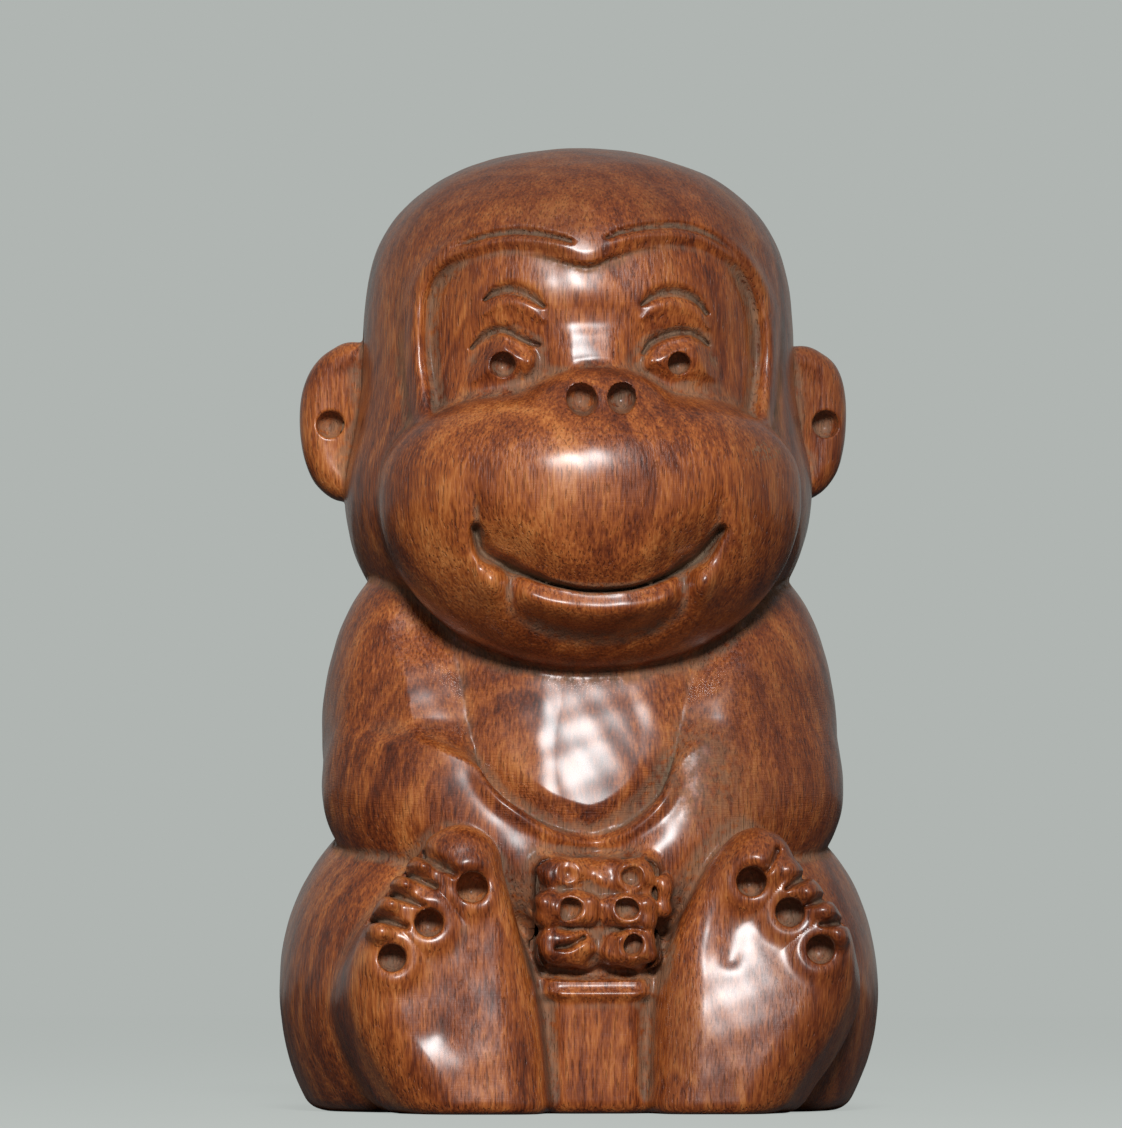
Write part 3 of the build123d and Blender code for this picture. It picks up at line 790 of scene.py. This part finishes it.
def hooded_skull(p):
    """The head with its hood line and the step down to the face."""
    edge = FACE(p[0], p[2])
    side = rise(np.abs(p[0] - 0.3), 8.5, 11.3)
    step = (0.4 + 0.15 * side) * rise(edge, 0.3, -0.7) + 0.25 * side * hump((edge + 0.6) / 0.6)
    rim = (0.08 + 0.35 * side) * hump((edge - 0.75) / 0.6) * rise(np.abs(p[0] + 0.2), 0.6, 2.5)
    line = np.minimum(HOOD_LINE[0](p[0], p[2]), HOOD_LINE[1](p[0], p[2]))
    groove = (0.42 - 0.3 * side) * hump(line)
    cusp = 0.35 + 0.65 * rise(np.abs(p[0] + 0.4), 0.3, 2.5)
    return skull(p) + (step * cusp - rim + groove) * (p[1] < 0)


forms["skull"] = hooded_skull
shape_piece(
    "head",
    ("skull", "snout", "ear_left", "ear_right", "trunk", "arm_left", "arm_right", "chest"),
    lambda p, own: np.maximum(own_part(own, "skull"), -face_pocket(p)),
    (-17.6, -15.2, 31.5),
    (17.6, 19.2, 70.4),
    step=0.26,
)


# The face. The plate inside the hood, a step lower, with a rounded forehead, gouged brows, and
# raised faceted eyes under a cut lid line, each with a drilled pupil.
BROWS = [
    [
        (-7.7, 57.6, 0.12), (-7.0, 58.1, 0.3), (-6.0, 58.3, 0.42),
        (-5.0, 58.0, 0.42), (-4.2, 57.5, 0.32), (-3.6, 57.0, 0.14),
    ],
    [
        (3.4, 57.2, 0.14), (4.3, 57.85, 0.36), (5.5, 58.2, 0.42),
        (6.7, 58.05, 0.38), (7.6, 57.5, 0.3), (8.2, 56.8, 0.16),
    ],
]
BROW_CUTS = [Outline(line, closed=False, pitch=0.07) for line in BROWS]
LIDS = [
    [
        (-8.6, 54.2, 0.14), (-7.8, 55.0, 0.28), (-6.9, 55.4, 0.34),
        (-6.0, 55.25, 0.34), (-5.1, 54.7, 0.28), (-3.9, 54.3, 0.14),
    ],
    [
        (3.5, 53.8, 0.14), (4.1, 54.6, 0.26), (5.2, 55.15, 0.32),
        (6.4, 55.4, 0.34), (7.4, 55.2, 0.3), (8.3, 54.6, 0.14),
    ],
]
LID_CUTS = [Outline(line, closed=False, pitch=0.07) for line in LIDS]
EYES = [
    Outline(
        [
            (-6.45, 55.1), (-5.3, 54.4), (-4.2, 53.5), (-4.2, 52.5), (-5.3, 51.8),
            (-6.8, 51.5), (-8.3, 51.3), (-8.9, 51.8), (-8.2, 53.2), (-7.4, 54.4),
        ],
        pitch=0.08,
    ),
    Outline(
        [(3.5, 53.0), (4.7, 54.4), (6.6, 55.1), (7.8, 54.8), (8.4, 53.5), (8.8, 51.9), (6.6, 51.4), (4.7, 51.8)],
        pitch=0.08,
    ),
]
EYE_RIDGES = [
    Outline([(-6.6, 55.1, 0.25), (-5.3, 54.5, 0.3), (-4.5, 53.5, 0.35), (-4.9, 52.4, 0.3)], closed=False, pitch=0.08),
    Outline([(3.8, 52.8, 0.3), (4.3, 53.9, 0.32), (5.4, 54.7, 0.3), (6.9, 55.0, 0.25)], closed=False, pitch=0.08),
]
PUPILS = [((-6.5, 52.85), 0.88), ((6.05, 53.05), 0.8)]
PUPIL_DEPTH = 1.4


def featured_face(p):
    """The hooded head with everything that is cut into the face plate."""
    x, y, z = p
    front = (x + 0.3) ** 2 / 85 - 12.5 - 0.6 * hump((z - 57.8) / 2.4) - 2.0 * rise(FACE(x, z), -0.9, 0.1)
    bridge = 0.35 * rise(z, 57.0, 54.8) + 0.6 * rise(z, 56.0, 53.0)
    bridge = bridge * rise(np.abs(x + 0.25), 4.2, 1.2) * rise(z, 51.0, 53.0)
    sockets = 0.45 * (hump((x + 6.4) / 3.0) + hump((x - 6.2) / 3.0)) * hump((z - 53.9) / 2.4)
    gouged = 0.5 * hump(np.minimum(BROW_CUTS[0](x, z), BROW_CUTS[1](x, z)))
    gouged = gouged - 0.15 * hump(np.minimum(BROW_CUTS[0](x, z + 1.0), BROW_CUTS[1](x, z + 1.0)) / 1.3)
    gouged = gouged + 0.42 * hump(np.minimum(LID_CUTS[0](x, z), LID_CUTS[1](x, z)))
    eye = np.minimum(EYES[0](x, z), EYES[1](x, z))
    almond = (0.35 + 0.8 * rise(z, 51.4, 53.6)) * rise(eye, 0.4, -1.1)
    almond = almond + 0.28 * hump(np.minimum(EYE_RIDGES[0](x, z), EYE_RIDGES[1](x, z)))
    body = cut(hooded_skull(p), front - y, 0.6) + (sockets + gouged - bridge - almond) * (y < 0)
    for (px, pz), radius in PUPILS:
        body = cut(body, -drill(p, (px, -12.3, pz), (0, 1, 0.12), radius, PUPIL_DEPTH), 0.12)
    return body


forms["skull"] = featured_face
shape_piece(
    "face_plate",
    ("skull", "snout"),
    lambda p, own: np.maximum(own_part(own, "skull"), face_pocket(p)),
    (-13.5, -16.2, 43.0),
    (14.0, -3.9, 63.4),
    step=0.14,
)


# The muzzle. The snout above the smile, with the nose on top and two drilled nostrils. Its skin
# dips into the smile, most of all at the corners, where the drill left a deep hole.
MOUTH_POINTS = [
    (-8.6, 40.9, 0.32), (-8.0, 39.4, 0.52), (-6.4, 38.45, 0.42), (-4.6, 37.65, 0.24), (-2.9, 37.0, 0.15),
    (-0.6, 36.6, 0.13), (2.1, 36.75, 0.13), (4.2, 37.4, 0.2), (5.8, 38.25, 0.34),
    (7.3, 39.2, 0.46), (8.7, 40.9, 0.3),
]
MOUTH = Outline(MOUTH_POINTS, closed=False, pitch=0.07)
MOUTH_LINE = curved(MOUTH_POINTS, False)[:, :2]
JAW_BACK = -8.5
NOSTRILS = [(-1.2, 50.1, 1.08), (1.66, 50.2, 1.0)]
NOSTRIL_DEPTH = 1.9
CORNER_HOLE = (-7.9, -16.6, 39.15)


def above_mouth(p):
    """Height above the line of the smile, which runs on level past its corners."""
    return p[2] - np.interp(p[0], MOUTH_LINE[:, 0], MOUTH_LINE[:, 1]).astype(np.float32)


def jaw_space(p):
    """The space under the smile, negative inside it."""
    side = np.abs(p[0] - 0.05) - (8.7 - 0.17 * (40.9 - p[2]))
    return np.maximum(np.maximum(above_mouth(p), side), p[1] - JAW_BACK)


def smiling_snout(p):
    x, y, z = p
    up = above_mouth(p)
    within = 1 - rise(np.abs(x - 0.05), 6.8, 10.0)
    corner = rise(np.abs(x - 0.05), 1.5, 6.5)
    dip = (0.35 + 0.85 * corner) * hump((up - 0.2) / (1.0 + 1.0 * corner)) * within
    lip = 0.7 * hump((up + 1.6) / 1.0) * (1 - rise(np.abs(x), 4.6, 6.6))
    under_lip = 0.35 * hump((up + 3.3) / 1.0) * (1 - rise(np.abs(x), 4.0, 7.5))
    bulges = 0.8 * (hump((x + 7.5) / 1.0) + hump((x - 7.4) / 1.0)) * hump((z - 37.2) / 1.4)
    folds = 0.4 * hump((np.abs(x) - 6.1) / 0.6) * hump((z - 37.3) / 1.4)
    slit = 1.25 * hump(MOUTH(x, z))
    body = snout(p) + (dip - lip + under_lip - bulges + folds + slit) * (y < JAW_BACK)
    for px, pz, radius in NOSTRILS:
        body = cut(body, -drill(p, (px, -15.9, pz), (0, 1, 0.2), radius, NOSTRIL_DEPTH), 0.15)
    return cut(body, -drill(p, CORNER_HOLE, (0.2, 1, 0), 0.45, 2.2), 0.1)


forms["snout"] = smiling_snout
shape_piece(
    "muzzle",
    ("skull", "snout", "chest", "arm_left", "arm_right", "trunk"),
    lambda p, own: np.maximum(own_part(own, "snout"), -jaw_space(p)),
    (-15.8, -19.4, 30.5),
    (15.9, 2.5, 54.2),
    step=0.17,
)


# The jaw. The lower lip and chin, of the same wood as the snout and parted from it only by the knife's
# cut along the smile, with a raised lip and a bulge under each corner.
shape_piece(
    "jaw",
    ("skull", "snout", "chest", "arm_left", "arm_right", "trunk"),
    lambda p, own: np.maximum(own_part(own, "snout"), jaw_space(p)),
    (-9.8, -19.4, 30.5),
    (9.9, -7.0, 42.0),
    step=0.14,
)


# The ears. A rounded wooden plate left standing on each side of the head, hollowed a little, with one
# shallow hole drilled from the front.
EAR_HOLE_RADIUS = 1.0
EAR_HOLE_DEPTH = 1.7


def drilled_ear(p, outline, px, pz):
    hole = drill(p, (px, 2.3, pz), (0, 1, 0), EAR_HOLE_RADIUS, EAR_HOLE_DEPTH)
    return cut(ear(p, outline), -hole, 0.2)


forms["ear_left"] = lambda p: drilled_ear(p, EAR_LEFT, 18.35, 50.2)
forms["ear_right"] = lambda p: drilled_ear(p, EAR_RIGHT, -18.1, 49.9)
for side, low, high in (
    ("left", (12.5, 1.4, 43.4), (20.9, 7.3, 57.0)),
    ("right", (-20.9, 1.4, 43.4), (-12.5, 7.3, 57.0)),
):
    mine = "ear_" + side
    shape_piece(mine, ("skull", mine), lambda p, own: own_part(own, mine), low, high, step=0.14)


# The chest. A smooth crowned bib between the arms, scraped crosswise and waxed, that turns in to a
# gouged valley along the U at its foot.
shape_piece(
    "chest",
    ("trunk", "arm_left", "arm_right", "chest", "skull", "snout", "hands"),
    lambda p, own: np.maximum(bib_cut(p), own_part(own, "chest", "trunk", "arm_left", "arm_right")),
    (-10.5, -13.6, 18.5),
    (9.8, -6.0, 39.5),
    step=0.14,
)


# The arms. A heavy upper arm, a rounded elbow, and a forearm that runs down and in to the fist, all
# carved from the block and joined softly to the bib and the trunk.
for side, low, high in (
    ("left", (-0.5, -16.0, 13.0), (19.3, 9.8, 41.2)),
    ("right", (-19.3, -16.0, 13.0), (0.5, 9.8, 41.2)),
):
    mine = "arm_" + side

    def arm_part(p, own, mine=mine):
        middle = -p[0] if mine == "arm_left" else p[0]
        return np.maximum(np.maximum(own_part(own, mine), -bib_cut(p)), middle)

    shape_piece(
        mine,
        ("trunk", "arm_left", "arm_right", "chest", "skull", "snout", "hands", "haunch_" + side, "foot_" + side),
        arm_part,
        low,
        high,
        step=0.24,
    )


# The trunk. The core of the block, left plain and rounded. It shows behind the arms, between them and
# the haunches, and as the low back wall of the undercut over the seat.
shape_piece(
    "trunk",
    tuple(name for name in forms if not name.startswith("ear")),
    lambda p, own: np.maximum(own_part(own, "trunk"), -bib_cut(p)),
    (-17.2, -13.0, -0.5),
    (17.2, 16.8, 40.0),
    step=0.26,
)


# The haunches. The folded legs, two round lumps of the block that carry the figure, sawn flat at the
# base with the edge broken.
for side, low, high in (
    ("left", (-0.8, -15.0, -0.5), (22.4, 16.0, 23.4)),
    ("right", (-22.4, -15.0, -0.5), (0.8, 16.0, 23.4)),
):
    mine = "haunch_" + side

    def haunch_part(p, own, mine=mine):
        middle = -p[0] if mine == "haunch_left" else p[0]
        return np.maximum(own_part(own, mine), middle)

    shape_piece(
        mine,
        ("trunk", "arm_" + side, "haunch_" + side, "foot_" + side, "hands", "seat"),
        haunch_part,
        low,
        high,
        step=0.26,
    )


# The feet. Upright soles with the big toe and four small toes parted by knife cuts, three drilled
# pads along the ball, and a long hollow down the middle of the sole.
TOES = {
    "foot_left": [
        ((11.3, 1.7, 18.1), (2.5, 2.3, 2.35)),
        ((13.35, 1.4, 17.2), (0.95, 1.7, 0.95)),
        ((14.75, 1.4, 15.8), (0.95, 1.7, 0.9)),
        ((15.95, 1.4, 14.3), (0.95, 1.7, 0.9)),
        ((16.75, 1.5, 12.7), (0.9, 1.7, 0.9)),
    ],
    "foot_right": [
        ((-9.5, 1.6, 18.1), (2.75, 2.4, 2.5)),
        ((-12.2, 1.3, 17.4), (0.95, 1.7, 0.8)),
        ((-13.5, 1.3, 16.1), (0.95, 1.7, 0.8)),
        ((-14.5, 1.3, 14.7), (0.95, 1.7, 0.8)),
        ((-15.3, 1.4, 13.0), (0.95, 1.7, 0.85)),
    ],
}
TOE_CUTS = {
    "foot_left": [
        [(12.6, 18.6, 0.3), (12.0, 17.4, 0.3), (11.5, 16.9, 0.2)],
        [(14.9, 17.2, 0.28), (13.9, 16.4, 0.28), (13.2, 15.9, 0.15)],
        [(16.3, 15.6, 0.28), (15.2, 15.0, 0.28), (14.5, 14.7, 0.15)],
        [(17.4, 13.8, 0.28), (16.2, 13.5, 0.28), (15.6, 13.4, 0.15)],
    ],
    "foot_right": [
        [(-12.4, 18.9, 0.4), (-11.7, 18.0, 0.4), (-10.1, 16.9, 0.3)],
        [(-13.6, 17.3, 0.3), (-12.8, 16.8, 0.32), (-11.4, 16.0, 0.2)],
        [(-14.6, 15.8, 0.3), (-13.8, 15.4, 0.32), (-12.3, 14.6, 0.2)],
        [(-15.8, 13.9, 0.3), (-14.9, 13.8, 0.3), (-13.5, 13.2, 0.2)],
    ],
}
HOLLOWS = {
    "foot_left": [(10.6, 14.6, 0.7), (9.8, 13.4, 0.9), (9.3, 12.2, 1.0), (9.2, 11.0, 0.7)],
    "foot_right": [(-9.8, 14.2, 1.1), (-10.2, 12.0, 1.8), (-10.9, 9.5, 2.2), (-11.2, 6.0, 1.8)],
}
PADS = {
    "foot_left": [(10.75, 16.4, 1.02), (13.45, 14.25, 1.0), (15.55, 11.6, 1.02)],
    "foot_right": [(-8.85, 15.95, 1.08), (-11.9, 13.45, 1.0), (-14.45, 11.0, 0.98)],
}


TOE_LINES = {name: [Outline(line, closed=False, pitch=0.08) for line in lines] for name, lines in TOE_CUTS.items()}
HOLLOW_LINES = {name: Outline(line, closed=False, pitch=0.1) for name, line in HOLLOWS.items()}
TOE_CUT_DEPTH = {"foot_left": 0.5, "foot_right": 0.75}
HOLLOW_DEPTH = {"foot_left": 0.12, "foot_right": 0.32}
PAD_DEPTH = 2.3


def finished_foot(p, name, outline):
    u, deep, v = on_sole(p)
    q = (u, deep, v)
    body = foot(p, outline)
    for centre, radii in TOES[name]:
        body = blend(body, egg(q, centre, radii), 0.45)
    parted = np.minimum.reduce([line(u, v) for line in TOE_LINES[name]])
    ball = np.minimum.reduce([np.hypot(u - a, v - b) for a, b, _ in PADS[name]])
    cuts = TOE_CUT_DEPTH[name] * hump(parted) + HOLLOW_DEPTH[name] * hump(HOLLOW_LINES[name](u, v))
    body = body + (cuts - 0.3 * hump((ball - 1.5) / 0.7)) * (deep < 4)
    for a, b, radius in PADS[name]:
        body = cut(body, -drill(q, (a, 0.0, b), (0, 1, 0.1), radius, PAD_DEPTH), 0.2)
    return body


forms["foot_left"] = lambda p: finished_foot(p, "foot_left", SOLE_LEFT)
forms["foot_right"] = lambda p: finished_foot(p, "foot_right", SOLE_RIGHT)
for side, low, high in (
    ("left", (3.4, -19.6, -0.5), (19.0, -8.0, 22.0)),
    ("right", (-18.5, -19.6, -0.5), (-3.0, -8.0, 22.0)),
):
    mine = "foot_" + side
    shape_piece(
        mine,
        ("trunk", "arm_" + side, "haunch_" + side, mine, "hands", "seat"),
        lambda p, own: own_part(own, mine),
        low,
        high,
        step=0.14,
    )


# The hands. Two small fists side by side between the feet, three fingers each, parted by notches.
# Every finger is drilled, but one at the foot got only a slanting nick.
def pad(p, centre, half, edge):
    q = [np.abs(p[i] - centre[i]) - half[i] for i in range(3)]
    out = [np.maximum(c + edge, 0) for c in q]
    deepest = np.maximum(np.maximum(q[0], q[1]), q[2])
    return np.sqrt(out[0] ** 2 + out[1] ** 2 + out[2] ** 2) + np.minimum(deepest + edge, 0) - edge


FINGERS = [
    ((-2.25, -12.4, 16.65), (1.95, 2.7, 1.1)),
    ((2.35, -12.4, 16.75), (1.8, 2.7, 1.05)),
    ((-2.1, -12.6, 14.3), (2.25, 3.3, 1.3)),
    ((2.15, -12.6, 14.1), (2.05, 3.2, 1.25)),
    ((-2.2, -12.6, 11.7), (2.0, 3.15, 1.25)),
    ((2.25, -12.6, 11.6), (1.9, 3.2, 1.3)),
    ((4.75, -12.3, 15.3), (0.55, 2.3, 1.5)),
]
# The place across and up, the radius and the depth of each hole.
FINGER_HOLES = [
    (-2.05, 16.9, 0.6, 0.7),
    (2.37, 16.55, 0.68, 1.2),
    (-1.95, 14.25, 0.75, 1.0),
    (2.0, 14.25, 0.7, 1.2),
    (2.37, 11.75, 0.72, 1.4),
]
KNUCKLES = -13
NICK = Outline([(-2.9, 11.6, 0.15), (-1.9, 11.8, 0.3), (-1.0, 12.3, 0.2)], closed=False, pitch=0.08)


def finished_fists(p):
    body = pad(p, (0.1, -12.0, 14.1), (4.0, 3.0, 3.8), 1.0)
    for centre, half in FINGERS:
        body = blend(body, pad(p, centre, half, min(half[0], 0.95)), 0.35)
    for px, pz, radius, depth in FINGER_HOLES:
        ring = np.hypot(p[0] - px, p[2] - pz)
        body = body - 0.16 * hump((ring - radius - 0.22) / 0.25) * (p[1] < KNUCKLES)
        body = cut(body, -drill(p, (px, -15.7, pz), (0, 1, 0.1), radius, depth), 0.12)
    return body + 0.7 * hump(NICK(p[0], p[2])) * (p[1] < KNUCKLES) + 0.17 * knife(p, 1.9, 9)


forms["hands"] = finished_fists
for side, low, high in (
    ("left", (-0.8, -16.8, 8.8), (5.6, -8.0, 19.2)),
    ("right", (-5.6, -16.8, 8.8), (1.2, -8.0, 19.2)),
):
    mine = "hand_" + side

    def hand_part(p, own, mine=mine):
        middle = 0.15 - p[0] if mine == "hand_left" else p[0] - 0.15
        return np.maximum(own_part(own, "hands"), middle)

    shape_piece(
        mine,
        ("trunk", "arm_" + side, "chest", "hands", "foot_" + side, "haunch_" + side, "seat"),
        hand_part,
        low,
        high,
        step=0.11,
    )


# The seat. The plain block of wood left between the feet under the hands, pared flat in front, with a
# chamfered ledge and a fine bead along its top.
shape_piece(
    "seat",
    ("trunk", "haunch_left", "haunch_right", "hands", "seat", "foot_left", "foot_right"),
    lambda p, own: own_part(own, "seat"),
    (-8.5, -15.4, -0.5),
    (8.5, -0.4, 10.2),
    step=0.16,
)


# The studio. A pale grey floor and backdrop, a large soft lamp before and above the figure, and a
# camera low in front, a little to the viewer's left.
BACKDROP = shade(176, 181, 178)

paint = bpy.data.materials.new("pale_floor")
paint.use_nodes = True
paint.node_tree.nodes.clear()
tone = Tone(paint.node_tree)
seen = tone.make("ShaderNodeLightPath", {}, {}, "Is Camera Ray")
bare = tone.make("ShaderNodeBsdfDiffuse", {}, {"Color": seen.mixed(shade(96, 96, 96), BACKDROP)})
glow = tone.make("ShaderNodeEmission", {}, {"Color": BACKDROP, "Strength": 1.29})
face = tone.make("ShaderNodeMixShader", {}, {0: seen * 0.75, 1: bare, 2: glow})
paint.node_tree.links.new(face.socket, paint.node_tree.nodes.new("ShaderNodeOutputMaterial").inputs["Surface"])

ground = bpy.data.meshes.new("floor")
ground.from_pydata([(-4, -4, 0), (4, -4, 0), (4, 4, 0), (-4, 4, 0)], [], [(0, 1, 2, 3)])
floor = bpy.data.objects.new("floor", ground)
bpy.context.scene.collection.objects.link(floor)
ground.materials.append(paint)

world = bpy.data.worlds.new("studio")
world.use_nodes = True
bpy.context.scene.world = world
tone = Tone(world.node_tree)
seen = tone.make("ShaderNodeLightPath", {}, {}, "Is Camera Ray")
shiny = tone.make("ShaderNodeLightPath", {}, {}, "Is Glossy Ray")
backdrop = world.node_tree.nodes["Background"]
backdrop.inputs["Color"].default_value = BACKDROP
world.node_tree.links.new((0.24 + seen * 0.76 + shiny * 0.4).socket, backdrop.inputs["Strength"])


def looking(place, aim):
    """The place and turn of a lamp or camera that looks from a place at an aim."""
    away = np.array(place) - np.array(aim)
    away = away / np.linalg.norm(away)
    across = np.cross((0, 0, 1), away)
    across = across / np.linalg.norm(across)
    up = np.cross(away, across)
    rows = [[float(across[i]), float(up[i]), float(away[i]), float(place[i])] for i in range(3)]
    return Matrix(rows + [[0, 0, 0, 1]])


def soft_lamp(name, place, aim, width, height, watts):
    light = bpy.data.lights.new(name, "AREA")
    light.shape = "ELLIPSE"
    light.size = width
    light.size_y = height
    light.energy = watts
    lamp = bpy.data.objects.new(name, light)
    bpy.context.scene.collection.objects.link(lamp)
    lamp.matrix_world = looking(place, aim)
    return lamp


soft_lamp("window", place=(-0.04, -0.685, 0.36), aim=(0, 0, 0.04), width=0.18, height=0.16, watts=5.2)

camera = bpy.data.cameras.new("camera")
camera.sensor_fit = "VERTICAL"
camera.sensor_height = 24.0
DISTANCE = 450.0
EYE_HEIGHT = 7.5
SEEN_HEIGHT = 82.04
TURN = math.radians(4.5)
middle = np.array([-1.38, 0.0, 39.6])
eye = np.array([middle[0] - DISTANCE * math.sin(TURN), -DISTANCE * math.cos(TURN), EYE_HEIGHT])
camera.lens = camera.sensor_height * np.linalg.norm(middle - eye) / SEEN_HEIGHT
view = bpy.data.objects.new("camera", camera)
bpy.context.scene.collection.objects.link(view)
view.matrix_world = looking(eye * MM, middle * MM)
bpy.context.scene.camera = view
bpy.context.scene.view_settings.view_transform = "Standard"
